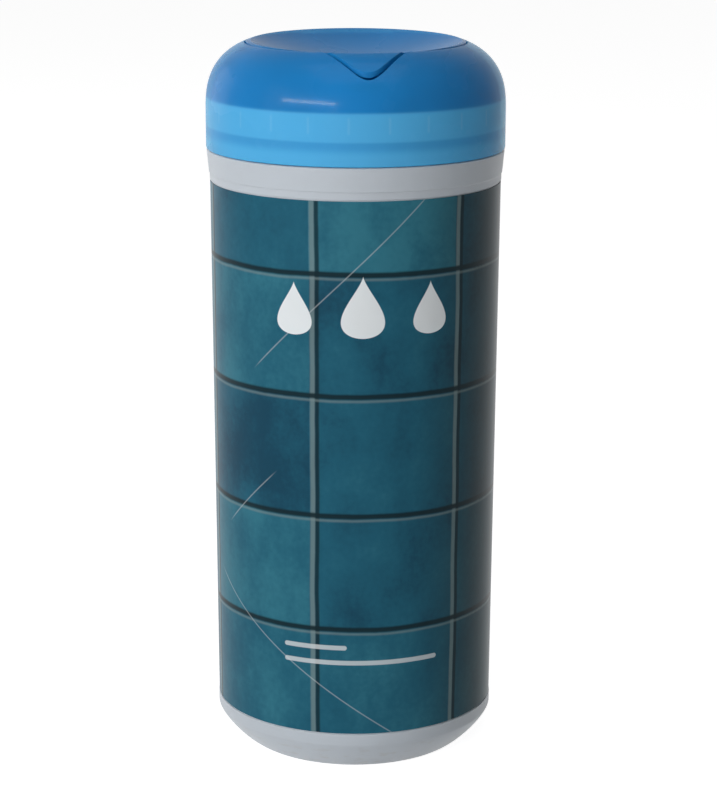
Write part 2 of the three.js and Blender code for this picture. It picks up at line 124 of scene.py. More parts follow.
def select_where(piece: Piece, test: Callable[[Vector], bool]) -> None:
    """Selects the vertices of a piece in edit mode by their place.

    Args:
        piece: The piece that is open in edit mode.
        test: Says of a place, in the row frame, whether its vertex is taken.
    """
    bpy.ops.mesh.select_all(action="DESELECT")
    mesh = bmesh.from_edit_mesh(piece.data)
    place = piece.matrix_world
    for vertex in mesh.verts:
        if test(place @ vertex.co):
            vertex.select_set(True)
    mesh.select_flush(True)
    bmesh.update_edit_mesh(piece.data)


def newest(name: str) -> Piece:
    """Names the object that was made last and returns it."""
    piece = bpy.context.object
    piece.name = name
    return piece


def apply_place() -> None:
    """Applies the place, turn and scale of the chosen pieces to their meshes."""
    bpy.ops.object.transform_apply(location=True, rotation=True, scale=True)


def turn_by(angle: float, axis: str = "Z", middle: Sequence[float] = (0, 0, 0)) -> None:
    """Turns what is selected about an axis through a point, by radians as Blender counts them."""
    bpy.ops.transform.rotate(value=angle, orient_axis=axis, center_override=middle)


def apply_modifier(piece: Piece, kind: str, **values: object) -> None:
    """Adds a modifier to a piece and applies it.

    Args:
        piece: The piece.
        kind: The modifier's type, as Blender names it.
        values: Its settings by name.
    """
    choose(piece)
    bpy.ops.object.modifier_add(type=kind)
    modifier = piece.modifiers[-1]
    for key, value in values.items():
        setattr(modifier, key, value)
    bpy.ops.object.modifier_apply(modifier=modifier.name)


def settle(piece: Piece, smooth: float = 32.0) -> Piece:
    """Puts a finished piece's object at the origin and smooths its shading.

    Args:
        piece: The piece.
        smooth: The angle in degrees past which an edge stays sharp.

    Returns:
        The same piece.
    """
    choose(piece)
    apply_place()
    bpy.ops.object.shade_smooth_by_angle(angle=math.radians(smooth))
    return piece


def outward(piece: Piece) -> None:
    """Merges doubles and turns all faces of a closed piece outwards."""
    enter_edit(piece)
    bpy.ops.mesh.select_all(action="SELECT")
    bpy.ops.mesh.remove_doubles(threshold=0.002 * MM)
    bpy.ops.mesh.normals_make_consistent(inside=False)
    leave_edit()


def turned(name: str, profile: Profile, segments: int, loop: bool) -> Piece:
    """Turns a section about the canister's axis by extruding a circle from point to point.

    Args:
        name: The piece's name.
        profile: Radius and height of each point, in mm.
        segments: Number of flats around.
        loop: Whether the section closes on itself. If not, its two ends are closed with discs.

    Returns:
        The closed solid.
    """
    clear_selection()
    radius, height = profile[0]
    bpy.ops.mesh.primitive_circle_add(
        vertices=segments, radius=radius * MM, location=(0, 0, height * MM), rotation=(0, 0, 0)
    )
    piece = newest(name)
    bpy.ops.object.mode_set(mode="EDIT")
    bpy.ops.mesh.select_mode(type="EDGE")
    bpy.ops.mesh.select_all(action="SELECT")
    for (radius, height), (next_radius, next_height) in zip(profile, profile[1:]):
        rise = (0, 0, (next_height - height) * MM)
        bpy.ops.mesh.extrude_region_move(TRANSFORM_OT_translate={"value": rise})
        scale = next_radius / radius
        bpy.ops.transform.resize(value=(scale, scale, 1), center_override=(0, 0, next_height * MM))
    bpy.ops.mesh.select_mode(type="VERT")
    bpy.ops.mesh.select_all(action="DESELECT")
    bpy.ops.mesh.select_non_manifold(extend=False)
    if loop:
        bpy.ops.mesh.select_mode(type="EDGE")
        bpy.ops.mesh.bridge_edge_loops()
    else:
        bpy.ops.mesh.fill_holes(sides=0)
    leave_edit()
    outward(piece)
    return piece


def ring(name: str, outer: float, inner: float, low: float, high: float) -> Piece:
    """Makes a ring about the canister's axis.

    Args:
        name: The ring's name.
        outer: Its outer radius in mm.
        inner: Its inner radius.
        low: Height of its underside.
        high: Height of its top.

    Returns:
        The ring.
    """
    return turned(name, [(outer, low), (outer, high), (inner, high), (inner, low)], FLATS, True)


def disc(name: str, radius: float, low: float, high: float) -> Piece:
    """Makes a flat round block of one radius, between two heights."""
    return turned(name, [(3, low), (radius, low), (radius, high), (3, high)], FLATS, False)


def change(piece: Piece, how: Join, *tools: Piece) -> Piece:
    """Joins or cuts a solid with others, which are used up.

    Args:
        piece: The solid that stays.
        how: Add, cut or keep.
        tools: The other solids.

    Returns:
        The same piece.
    """
    for tool in tools:
        apply_modifier(piece, "BOOLEAN", operation=how.value, solver="EXACT", object=tool)
        choose(tool)
        bpy.ops.object.delete()
    return piece


def eased(piece: Piece, width: float, angle: float, segments: int) -> None:
    """Rounds a piece's sharp edges, as far as its shortest edge allows.

    Args:
        piece: The piece.
        width: Width of the rounding in mm.
        angle: Edges sharper than this, in degrees, are rounded.
        segments: Steps across the rounding.
    """
    apply_modifier(
        piece,
        "BEVEL",
        width=width * MM,
        segments=segments,
        limit_method="ANGLE",
        angle_limit=math.radians(angle),
        use_clamp_overlap=True,
        miter_outer="MITER_ARC",
    )


def copy_of(piece: Piece, name: str) -> Piece:
    """Copies a piece with its own mesh.

    Args:
        piece: The piece to copy.
        name: The copy's name.

    Returns:
        The copy.
    """
    choose(piece)
    bpy.ops.object.duplicate()
    return newest(name)


def block(name: str, low: Sequence[float], high: Sequence[float]) -> Piece:
    """Makes a block between two corners.

    Args:
        name: The block's name.
        low: Lowest corner in mm.
        high: Highest corner in mm.

    Returns:
        The block.
    """
    clear_selection()
    middle = [(a + b) / 2 * MM for a, b in zip(low, high)]
    bpy.ops.mesh.primitive_cube_add(size=1, location=middle)
    piece = newest(name)
    piece.scale = [(b - a) * MM for a, b in zip(low, high)]
    apply_place()
    return piece


# Shader nodes


@dataclass
class Shader:
    """A material's node tree, with short ways to add to it."""

    material: Material

    @classmethod
    def named(cls, name: str) -> "Shader":
        """Makes an empty material of that name."""
        material = bpy.data.materials.new(name)
        material.use_nodes = True
        return cls(material)

    @property
    def tree(self) -> bpy.types.NodeTree:
        """The node tree."""
        return self.material.node_tree

    @property
    def surface(self) -> Node:
        """The Principled shader."""
        return self.tree.nodes["Principled BSDF"]

    def add(self, kind: str, **values: object) -> Node:
        """Adds a node and sets its properties.

        Args:
            kind: The node's type without its prefix.
            values: Properties by name.

        Returns:
            The node.
        """
        node = self.tree.nodes.new("ShaderNode" + kind)
        for key, value in values.items():
            setattr(node, key, value)
        return node

    def plug(self, value: Socket | float | Sequence[float], socket: Socket) -> None:
        """Links a socket, or sets a plain value."""
        if isinstance(value, Socket):
            self.tree.links.new(value, socket)
        else:
            socket.default_value = value

    def math(self, operation: str, *values: Socket | float) -> Socket:
        """Adds a Math node.

        Args:
            operation: The operation, as Blender names it.
            values: Up to three inputs.

        Returns:
            Its output.
        """
        node = self.add("Math", operation=operation)
        for value, socket in zip(values, node.inputs):
            self.plug(value, socket)
        return node.outputs[0]

    def ramp(self, value: Socket, start: float, end: float) -> Socket:
        """A smooth step of a value from 0 at start to 1 at end."""
        node = self.add("MapRange", interpolation_type="SMOOTHSTEP")
        self.plug(value, node.inputs["Value"])
        node.inputs["From Min"].default_value = start
        node.inputs["From Max"].default_value = end
        return node.outputs["Result"]

    def times(self, first: Socket | float, second: Socket | float) -> Socket:
        """Two values multiplied."""
        return self.math("MULTIPLY", first, second)

    def rest(self, value: Socket) -> Socket:
        """What a value lacks to 1."""
        return self.math("SUBTRACT", 1.0, value)

    def band(self, value: Socket, centre: float, half: float, soft: float) -> Socket:
        """A soft-edged band of a value about a centre.

        Args:
            value: The value.
            centre: The band's middle.
            half: Half its width.
            soft: How far its edge fades.

        Returns:
            1 inside and 0 outside.
        """
        away = self.math("ABSOLUTE", self.math("SUBTRACT", value, centre))
        return self.rest(self.ramp(away, half - soft, half + soft))

    def most(self, values: Iterable[Socket]) -> Socket:
        """The largest of several values."""
        result = None
        for value in values:
            result = value if result is None else self.math("MAXIMUM", result, value)
        return result

    def noise(self, scale: float, detail: float = 3.0, stretch: Sequence[float] = (1, 1, 1)) -> Socket:
        """A noise on object coordinates.

        Args:
            scale: Its scale.
            detail: Its detail.
            stretch: Scale along each axis before it.

        Returns:
            Its value from 0 to 1.
        """
        mapping = self.add("Mapping")
        mapping.inputs["Scale"].default_value = stretch
        self.plug(self.add("TexCoord").outputs["Object"], mapping.inputs["Vector"])
        node = self.add("TexNoise")
        node.inputs["Scale"].default_value = scale
        node.inputs["Detail"].default_value = detail
        self.plug(mapping.outputs[0], node.inputs["Vector"])
        return node.outputs["Fac"]

    def place(self) -> tuple[Socket, Socket, Socket]:
        """Object coordinates in metres, as three sockets."""
        split = self.add("SeparateXYZ")
        self.plug(self.add("TexCoord").outputs["Object"], split.inputs[0])
        return split.outputs[0], split.outputs[1], split.outputs[2]

    def mix(self, share: Socket | float, first: Tone, second: Tone) -> Socket:
        """Mixes two colours.

        Args:
            share: How much of the second colour.
            first: The first colour.
            second: The second colour.

        Returns:
            The mixed colour.
        """
        node = self.add("Mix", data_type="RGBA")
        self.plug(share, node.inputs[0])
        for value, socket in ((first, node.inputs[6]), (second, node.inputs[7])):
            self.plug(value if isinstance(value, Socket) else (*value[:3], 1.0), socket)
        return node.outputs[2]

    def bump(self, height: Socket, distance: float, strength: float = 1.0) -> None:
        """Gives the surface a relief from a height.

        Args:
            height: The relief, 1 for the full distance.
            distance: The distance in mm.
            strength: How much of it shows.
        """
        node = self.add("Bump")
        node.inputs["Strength"].default_value = strength
        node.inputs["Distance"].default_value = distance * MM
        self.plug(height, node.inputs["Height"])
        self.plug(node.outputs[0], self.surface.inputs["Normal"])

    def set(self, **values: Socket | float | Sequence[float]) -> None:
        """Sets inputs of the surface, with underscores for spaces in their names."""
        for key, value in values.items():
            name = key.replace("_", " ")
            if not isinstance(value, Socket) and not isinstance(value, (int, float)):
                value = (*value[:3], 1.0)
            self.plug(value, self.surface.inputs[name])


def dress(piece: Piece, material: Material) -> None:
    """Gives a piece one material all over."""
    piece.data.materials.clear()
    piece.data.materials.append(material)


# Finishes


@dataclass(frozen=True)
class BlownPlastic:
    """White blown polyethylene with a faint grain and light scuffs near its foot."""

    name: str = "white_blown_plastic"
    colour: Triple = (0.505, 0.55, 0.60)
    scuff_colour: Triple = (0.44, 0.45, 0.45)

    def make(self) -> Material:
        """Builds the material."""
        shader = Shader.named(self.name)
        _, _, height = shader.place()
        low = shader.rest(shader.ramp(height, 2 * MM, 13 * MM))
        patches = shader.ramp(shader.noise(190, 5, (1, 1, 2.2)), 0.52, 0.68)
        scuffs = shader.times(patches, shader.math("MULTIPLY_ADD", low, 0.55, 0.04))
        shader.set(
            Base_Color=shader.mix(scuffs, self.colour, self.scuff_colour),
            Roughness=shader.math("MULTIPLY_ADD", shader.noise(60), 0.14, 0.33),
            IOR=1.5,
            Subsurface_Weight=0.12,
        )
        shader.surface.inputs["Subsurface Radius"].default_value = (0.003, 0.003, 0.003)
        shader.surface.inputs["Subsurface Scale"].default_value = 0.4
        shader.bump(shader.noise(1400, 2), 0.02, 0.5)
        return shader.material


@dataclass(frozen=True)
class TranslucentBlue:
    """Blue polypropylene that lets a soft light through, with painted light in the zones it is given."""

    name: str = "translucent_blue_plastic"
    colour: Triple = (0.014, 0.27, 0.68)
    tint: Triple = (0.42, 0.86, 1.0)
    clearness: float = 0.25
    # Colour of the painted light where the white neck shows through the wall
    light: Triple = (0.13, 0.60, 1.0)
    # Painted light zones on the skirt: from and to height in mm, share and softness
    painted_light_zones: tuple[tuple[float, float, float, float], ...] = ()
    # Painted light lines where the grip ribs behind the wall touch the white neck
    rib_pitch: float = 15.0
    rib_zone: tuple[float, float, float, float] = (190.2, 191.0, 194.6, 195.8)
    painted_rib_share: float = 0.1
    painted_rib_light: Triple = (0.5, 0.85, 1.0)

    def with_painted_light(self, shader: Shader, colour: Socket) -> Socket:
        """Paints light into the colour where the white neck lies close behind the wall, and at the ribs that
        join it there.

        Args:
            shader: The material in work.
            colour: The plastic's own colour.

        Returns:
            The colour with its painted light zones and rib lines.
        """
        x, y, metres = shader.place()
        level = shader.math("DIVIDE", metres, MM)
        # Painted light: lighter bands where the white neck lies close behind the wall
        for low, high, share, soft in self.painted_light_zones:
            rise = shader.ramp(level, low - soft, low + soft)
            fall = shader.rest(shader.ramp(level, high - soft, high + soft))
            zone = shader.times(shader.times(rise, fall), share)
            colour = shader.mix(zone, colour, self.light)
        if self.painted_light_zones:
            # Painted light: lighter lines at the ribs behind the wall
            turn = shader.math("DIVIDE", shader.math("ARCTAN2", x, y), math.radians(self.rib_pitch))
            rib = shader.ramp(shader.math("PINGPONG", turn, 0.5), 0.45, 0.49)
            foot, low, high, head = self.rib_zone
            tall = shader.times(shader.ramp(level, foot, low), shader.rest(shader.ramp(level, high, head)))
            colour = shader.mix(shader.times(shader.times(rib, tall), self.painted_rib_share), colour, self.painted_rib_light)
        return colour

    def make(self) -> Material:
        """Builds the material."""
        shader = Shader.named(self.name)
        drift = shader.ramp(shader.noise(26, 2), 0.3, 0.7)
        deeper = tuple(0.86 * channel for channel in self.colour)
        shader.set(
            Base_Color=self.with_painted_light(shader, shader.mix(drift, self.colour, deeper)),
            Roughness=shader.math("MULTIPLY_ADD", shader.noise(45), 0.10, 0.22),
            IOR=1.49,
            Specular_IOR_Level=0.07,
            Coat_Weight=0.11,
            Coat_Roughness=0.09,
        )
        shader.bump(shader.noise(900, 2), 0.015, 0.4)
        through, both = shader.add("BsdfTransparent"), shader.add("MixShader")
        through.inputs[0].default_value = (*self.tint, 1.0)
        both.inputs[0].default_value = self.clearness
        shader.plug(shader.surface.outputs[0], both.inputs[1])
        shader.plug(through.outputs[0], both.inputs[2])
        shader.plug(both.outputs[0], shader.tree.nodes["Material Output"].inputs[0])
        return shader.material


@dataclass(frozen=True)
class WetCloth:
    """Damp white nonwoven cloth, wound so that its turns show on the roll's ends as a relief and as painted
    shade between them.
    """

    name: str = "wet_wipe_cloth"
    colour: Triple = (0.80, 0.81, 0.80)
    turn: float = 1.05

    def make(self) -> Material:
        """Builds the material."""
        shader = Shader.named(self.name)
        x, y, _ = shader.place()
        squares = shader.math("ADD", shader.math("POWER", x, 2.0), shader.math("POWER", y, 2.0))
        layers = shader.math("DIVIDE", shader.math("SQRT", squares), self.turn * MM)
        turns = shader.math("DIVIDE", shader.math("ARCTAN2", x, y), math.tau)
        wound = shader.math("SUBTRACT", layers, turns)
        uneven = shader.math("MULTIPLY_ADD", shader.noise(60, 4), 1.6, wound)
        # Painted shade: darker lines between the wound turns, also used for their relief
        crease = shader.math("PINGPONG", uneven, 0.5)
        edge = shader.ramp(crease, 0.0, 0.2)
        shader.set(
            Base_Color=shader.mix(edge, tuple(0.74 * channel for channel in self.colour), self.colour),
            Roughness=0.62,
            Sheen_Weight=0.15,
            Subsurface_Weight=0.1,
        )
        shader.surface.inputs["Subsurface Scale"].default_value = 0.002
        weave = shader.noise(2600, 3)
        shader.bump(shader.math("MULTIPLY_ADD", weave, 0.25, edge), 0.35, 0.8)
        return shader.material


@dataclass(frozen=True)
class TileFilm:
    """Glossy film with a print of glazed tiles, three plain drops and two plain bars.

    Lengths are in mm and angles in degrees from the tab's side, positive towards +X.
    """

    name: str = "tile_print_film"
    radius: float = 42.4
    rows: tuple[float, ...] = (150.75, 115.4, 79.83, 45.52)
    column_start: float = -23.0
    column_pitch: float = 60.0
    teal: Triple = (0.013, 0.105, 0.165)
    light_teal: Triple = (0.032, 0.172, 0.235)
    deep_teal: Triple = (0.007, 0.056, 0.098)
    grout_dark: Triple = (0.004, 0.018, 0.024)
    grout_light: Triple = (0.20, 0.27, 0.27)
    white: Triple = (0.78, 0.82, 0.84)
    # Painted shade: the colour the print darkens to toward the label's right side
    painted_side_shade: Triple = (0.014, 0.030, 0.030)
    drops: tuple[Triple, ...] = (
        (-29.0, 141.0, 0.86),
        (-2.0, 141.8, 1.0),
        (25.0, 141.0, 0.86),
    )
    bars: tuple[Triple, ...] = ((-34.0, -8.0, 40.0), (-34.0, 30.0, 35.4))
    hairlines: tuple[tuple[float, ...], ...] = (
        (-36.0, 121.0, 19.0, 174.5),
        (-49.0, 72.0, -27.0, 92.5),
        (-56.0, 57.3, 11.0, 11.0),
    )

    def drop(self, shader: Shader, across: Socket, height: Socket, spec: Triple) -> Socket:
        """One water drop.

        Args:
            shader: The material in work.
            across: Length around the canister.
            height: Height.
            spec: Angle, height and size of the drop.

        Returns:
            1 inside and 0 outside.
        """
        angle, middle, size = spec
        centre = math.radians(angle) * self.radius
        rise = shader.math("DIVIDE", shader.math("SUBTRACT", height, middle), 9.2 * size)
        held = shader.math("MINIMUM", shader.math("MAXIMUM", rise, -1.0), 1.0)
        square = shader.math("POWER", shader.math("ABSOLUTE", held), 2.0)
        round_part = shader.math("SQRT", shader.math("MAXIMUM", shader.rest(square), 0.0))
        width = shader.times(shader.times(shader.rest(held), round_part), 4.9 * size)
        away = shader.math("ABSOLUTE", shader.math("SUBTRACT", across, centre))
        return shader.ramp(shader.math("SUBTRACT", width, away), 0.02, 0.24)

    def bar(self, shader: Shader, across: Socket, height: Socket, spec: Triple) -> Socket:
        """One round-ended bar, from one angle to another at a height."""
        start, end, level = spec
        left, right = (math.radians(angle) * self.radius for angle in (start, end))
        middle, half = (left + right) / 2, (right - left) / 2
        away = shader.math("ABSOLUTE", shader.math("SUBTRACT", across, middle))
        beyond = shader.math("MAXIMUM", shader.math("SUBTRACT", away, half - 0.7), 0.0)
        above = shader.math("SUBTRACT", height, level)
        squares = shader.math("ADD", shader.math("POWER", beyond, 2.0), shader.times(above, above))
        return shader.rest(shader.ramp(shader.math("SQRT", squares), 0.6, 0.8))

    def hairline(self, shader: Shader, across: Socket, height: Socket, ends: Sequence[float]) -> Socket:
        """A hair-thin straight line that fades at its ends, given as start and end across and in height."""
        start, low, end, high = ends
        length = math.hypot(end - start, high - low)
        run, rise = (end - start) / length, (high - low) / length
        over = shader.math("SUBTRACT", across, start)
        above = shader.math("SUBTRACT", height, low)
        along = shader.math("ADD", shader.times(over, run), shader.times(above, rise))
        away = shader.math("SUBTRACT", shader.times(over, rise), shader.times(above, run))
        long = shader.band(along, length / 2, length / 2 - 3, 3)
        return shader.times(long, shader.band(away, 0, 0.17, 0.13))

    def make(self) -> Material:
        """Builds the material."""
        shader = Shader.named(self.name)
        x, y, metres = shader.place()
        height = shader.math("DIVIDE", metres, MM)
        angle = shader.math("ARCTAN2", x, shader.times(y, -1.0))
        across = shader.times(angle, self.radius)
        waver = shader.times(shader.math("SUBTRACT", shader.noise(34, 4), 0.5), 1.1)
        level = shader.math("ADD", height, waver)
        pitch = math.radians(self.column_pitch) * self.radius
        start = math.radians(self.column_start) * self.radius
        wavering = shader.math("ADD", across, waver)
        column = shader.math("DIVIDE", shader.math("SUBTRACT", wavering, start), pitch)
        column_id = shader.math("FLOORED_MODULO", shader.math("FLOOR", column), 360.0 / self.column_pitch)
        inside = shader.times(shader.math("FRACT", column), pitch)
        row_id = 0.0
        for row in self.rows:
            row_id = shader.math("ADD", shader.math("GREATER_THAN", height, row), row_id)

        colour = self.glaze(shader, column_id, row_id, inside)
        # Painted shade: darker toward the label's right side, as if in shade
        right_shade_mask = shader.band(shader.math("DEGREES", angle), 80, 42, 23)
        colour = shader.mix(shader.times(right_shade_mask, 0.72), colour, self.painted_side_shade)
        dark_rows = shader.most([shader.band(level, row + 0.15, 0.75, 0.4) for row in self.rows])
        light_rows = shader.most([shader.band(level, row - 1.15, 0.35, 0.4) for row in self.rows])
        light_columns = shader.band(inside, 1.0, 0.75, 0.35)
        near_end = shader.math("PINGPONG", shader.math("SUBTRACT", inside, 2.35), pitch / 2)
        dark_columns = shader.rest(shader.ramp(near_end, 0.3, 0.95))
        scratches = shader.most([self.hairline(shader, across, height, ends) for ends in self.hairlines])
        drops = shader.most([self.drop(shader, across, height, spec) for spec in self.drops])
        bars = shader.most([self.bar(shader, across, height, spec) for spec in self.bars])
        layers = (
            (light_columns, 0.62, self.grout_light),
            (dark_columns, 0.85, self.grout_dark),
            (light_rows, 0.5, self.grout_light),
            (dark_rows, 0.95, self.grout_dark),
            (scratches, 0.27, self.white),
            (drops, 1.0, self.white),
            (bars, 0.62, self.white),
        )
        for shown, share, tone in layers:
            colour = shader.mix(shader.times(shown, share), colour, tone)
        shader.set(
            Base_Color=colour,
            Roughness=0.3,
            IOR=1.5,
            Specular_IOR_Level=0.05,
            Coat_Weight=0.05,
            Coat_Roughness=0.06,
        )
        shader.bump(shader.noise(38, 2, (1, 1, 0.25)), 0.05, 0.5)
        return shader.material

    def glaze(self, shader: Shader, column_id: Socket, row_id: Socket, inside: Socket) -> Socket:
        """The mottled glaze, with its own tone on each tile.

        Args:
            shader: The material in work.
            column_id: The tile's column.
            row_id: The tile's row.
            inside: Length from the tile's left edge.

        Returns:
            The glaze's colour.
        """
        join = shader.add("CombineXYZ")
        shader.plug(column_id, join.inputs[0])
        shader.plug(row_id, join.inputs[1])
        tone = shader.add("TexWhiteNoise", noise_dimensions="3D")
        shader.plug(join.outputs[0], tone.inputs["Vector"])
        own = shader.math("MULTIPLY_ADD", tone.outputs["Value"], 0.4, -0.2)
        cloud = shader.noise(48, 5)
        streak = shader.noise(120, 5, (1, 1, 0.35))
        fine = shader.noise(620, 4)
        mottle = shader.math("ADD", shader.times(cloud, 0.65), shader.times(streak, 0.35))
        mottle = shader.math("ADD", mottle, shader.math("MULTIPLY_ADD", fine, 0.22, -0.11))
        mottle = shader.math("ADD", mottle, own)
        lighter = shader.ramp(mottle, 0.44, 0.80)
        deeper = shader.rest(shader.ramp(mottle, 0.18, 0.50))
        return shader.mix(deeper, shader.mix(lighter, self.teal, self.light_teal), self.deep_teal)


# The dome's surface


@dataclass(frozen=True)
class Dome:
    """The lid's outer surface, which the flip cap's top carries on. Sizes are in mm."""

    radius: float = 44.0
    bottom: float = 181.4
    side: float = 11.1
    rise: float = 21.8
    crown: float = 14.6
    out_power: float = 2.8
    up_power: float = 2.57

    @property
    def start(self) -> float:
        """Height at which the dome's shoulder begins."""
        return self.bottom + self.side

    def height(self, radius: float, inset: float = 0.0) -> float:
        """Height of the surface at a radius.

        Args:
            radius: The radius.
            inset: How far the surface is taken in.

        Returns:
            The height.
        """
        out = min(max((radius - self.crown) / (self.radius - inset - self.crown), 0.0), 1.0)
        cosine = out ** (self.out_power / 2)
        sine = math.sqrt(max(1 - cosine**2, 0.0))
        return self.start + (self.rise - inset) * sine ** (2 / self.up_power)

    def arc(self, outer: float, inner: float, steps: int, inset: float = 0.0) -> Points:
        """Points along the surface from one radius in to another.

        Args:
            outer: The radius to start at.
            inner: The radius to end at.
            steps: Number of steps.
            inset: How far the surface is taken in.

        Returns:
            Radius and height of each point.
        """
        span = self.radius - inset - self.crown

        def turn(radius: float) -> float:
            out = min(max((radius - self.crown) / span, 0.0), 1.0)
            return math.acos(out ** (self.out_power / 2))

        first, last = turn(outer), turn(inner)
        points = []
        for step in range(steps + 1):
            angle = first + (last - first) * step / steps
            radius = self.crown + span * max(math.cos(angle), 0.0) ** (2 / self.out_power)
            points.append((radius, self.height(radius, inset)))
        return points

    def solid(self, name: str, bottom: float, drop: float = 0.0) -> Piece:
        """All the room under the surface, from a height up.

        Args:
            name: The solid's name.
            bottom: Height of its flat underside.
            drop: How far the whole surface is lowered.

        Returns:
            The solid.
        """
        arc = [(radius, height - drop) for radius, height in self.arc(self.radius, self.crown, 30)]
        return turned(name, [(self.radius, bottom), *arc, (3.0, arc[-1][1])], FLATS, False)


# Sub-assemblies


@dataclass
class Canister:
    """The blown canister. Sizes are in mm."""

    wall: float = 1.3
    base_radius: float = 33.0
    ring_width: float = 3.2
    push_up: float = 2.4
    push_up_slope: float = 5.0
    heel_height: float = 9.7
    panel_bottom: float = 13.0
    panel_top: float = 172.1
    bottom_radius: float = 41.5
    top_radius: float = 42.65
    recess: float = 0.35
    band: float = 2.1
    crease: float = 0.25
    shoulder_radius: float = 43.8
    shoulder_top: float = 181.2
    ledge: float = 1.7
    ledge_slope: float = 2.2
    neck_top: float = 196.4
    neck_radius: float = 41.6
    neck_band: float = 8.3
    groove_radius: float = 40.3
    bore_radius: float = 39.0
    bore_depth: float = 12.6
    finish: BlownPlastic = field(default_factory=BlownPlastic)

    def heel(self, inset: float) -> Points:
        """The heel's curve, for the outside or, with an inset, for the inside."""
        side = self.bottom_radius + self.recess - inset
        foot = self.base_radius - inset / 2
        low = self.push_up + self.wall if inset > 0 else 0.0
        points = []
        for step in range(21):
            angle = step / 20 * math.pi / 2
            out = math.sin(angle) ** 1.7
            up = 1 - max(math.cos(angle), 0.0) ** 1.6
            points.append((foot + (side - foot) * out, low + (self.heel_height + inset - low) * up))
        return points

    def section(self) -> Points:
        """The whole wall's section, from under the base over the neck to the floor."""
        ring = self.base_radius - self.ring_width
        foot = ring - self.push_up_slope
        side = self.bottom_radius + self.recess
        band = self.top_radius + self.recess
        crease = self.panel_top + self.band
        neck_low = self.neck_top - self.neck_band
        widening = self.top_radius - self.bottom_radius
        rise = self.panel_top - self.panel_bottom
        outside = [
            (2.0, self.push_up - 0.5),
            (3.2, self.push_up - 0.4),
            (3.8, self.push_up),
            (12.0, self.push_up),
            (12.5, self.push_up + 0.3),
            (13.5, self.push_up + 0.3),
            (14.0, self.push_up),
            (foot, self.push_up),
            (foot + self.push_up_slope * 0.3, self.push_up * 0.86),
            (foot + self.push_up_slope * 0.7, self.push_up * 0.16),
            (ring, 0.0),
            *self.heel(0.0),
            (side, self.panel_bottom - 0.2),
            (side - 0.08, self.panel_bottom - 0.05),
            (self.bottom_radius, self.panel_bottom),
            *((self.bottom_radius + widening * i / 8, self.panel_bottom + rise * i / 8) for i in range(1, 9)),
            (band - 0.08, self.panel_top + 0.05),
            (band, self.panel_top + 0.2),
            (band, crease - 0.15),
            (band + 0.05, crease),
            (band + self.crease, crease + self.crease),
            (self.shoulder_radius - 0.1, self.shoulder_top - 1.6),
            (self.shoulder_radius, self.shoulder_top - 0.9),
            (self.shoulder_radius, self.shoulder_top - 0.25),
            (self.shoulder_radius - 0.25, self.shoulder_top),
            (self.shoulder_radius - self.ledge, self.shoulder_top),
            (self.groove_radius, self.shoulder_top + self.ledge_slope),
            (self.groove_radius, neck_low),
            (self.neck_radius - 0.3, neck_low),
            (self.neck_radius, neck_low + 0.4),
            (self.neck_radius, self.neck_top - 0.5),
            (self.neck_radius - 0.2, self.neck_top - 0.1),
            (self.neck_radius - 0.5, self.neck_top),
        ]
        inside = [
            (self.bore_radius + 0.3, self.neck_top),
            (self.bore_radius, self.neck_top - 0.3),
            (self.bore_radius, self.neck_top - self.bore_depth),
            (self.top_radius - self.wall, crease),
            *reversed(self.heel(self.wall)),
        ]
        return outside + inside

    def build(self) -> Piece:
        """Builds and dresses the canister."""
        piece = settle(turned("canister_wall", self.section(), 160, False), 28)
        dress(piece, self.finish.make())
        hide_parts("canister_body")
        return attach(piece, Body.CANISTER.value)


@dataclass
class Label:
    """The film around the canister, with its lap at the back. Sizes are in mm and degrees."""

    canister: Canister
    film: float = 0.2
    gap: float = 0.05
    margin: float = 0.35
    seam: float = 172.5
    lap: float = 15.0
    mean_radius: float = 42.6
    finish: TileFilm = field(default_factory=TileFilm)

    def radius(self, height: float) -> float:
        """Radius of the film's outer face at a height."""
        can = self.canister
        share = (height - can.panel_bottom) / (can.panel_top - can.panel_bottom)
        return can.bottom_radius + (can.top_radius - can.bottom_radius) * share + self.gap + self.film

    def build(self) -> Piece:
        """Wraps the film and dresses it."""
        can = self.canister
        bottom, top = can.panel_bottom + self.margin, can.panel_top - self.margin
        low, high = self.radius(bottom), self.radius(top)
        clear_selection()
        bpy.ops.mesh.primitive_plane_add(size=1, location=(0, 0, 0))
        piece = newest("wrapped_label")
        enter_edit(piece)
        select_where(piece, lambda place: place.x > 0)
        bpy.ops.mesh.delete(type="VERT")
        for side, radius, height in ((-1, low, bottom), (1, high, top)):
            select_where(piece, lambda place: place.y * side > 0)
            bpy.ops.transform.translate(value=(0.5, -0.5 * side, 0))
            bpy.ops.transform.translate(value=(0, -radius * MM, height * MM))
        bpy.ops.mesh.select_mode(type="EDGE")
        bpy.ops.mesh.select_all(action="SELECT")
        turn_by(-math.radians(self.seam))
        bpy.ops.mesh.spin(
            steps=192, angle=math.tau, center=(0, 0, 0), axis=(0, 0, -1), use_auto_merge=False
        )
        lift = (self.film + self.gap) / self.mean_radius
        laps = 8
        for step in range(laps):
            bpy.ops.mesh.extrude_region_move()
            turn_by(-math.radians(self.lap) / laps)
            if step < 2:
                scale = 1 + lift / 2
                bpy.ops.transform.resize(value=(scale, scale, 1), center_override=(0, 0, 0))
        leave_edit()
        self.thicken(piece)
        settle(piece, 28)
        dress(piece, self.finish.make())
        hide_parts("label")
        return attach(piece, Body.CANISTER.value)

    def thicken(self, piece: Piece) -> None:
        """Gives the film its thickness, inwards."""
        choose(piece)
        if sum(face.normal.dot(face.center * Vector((1, 1, 0))) for face in piece.data.polygons[:4]) < 0:
            enter_edit(piece)
            bpy.ops.mesh.select_all(action="SELECT")
            bpy.ops.mesh.flip_normals()
            leave_edit()
        apply_modifier(piece, "SOLIDIFY", thickness=self.film * MM, offset=-1)


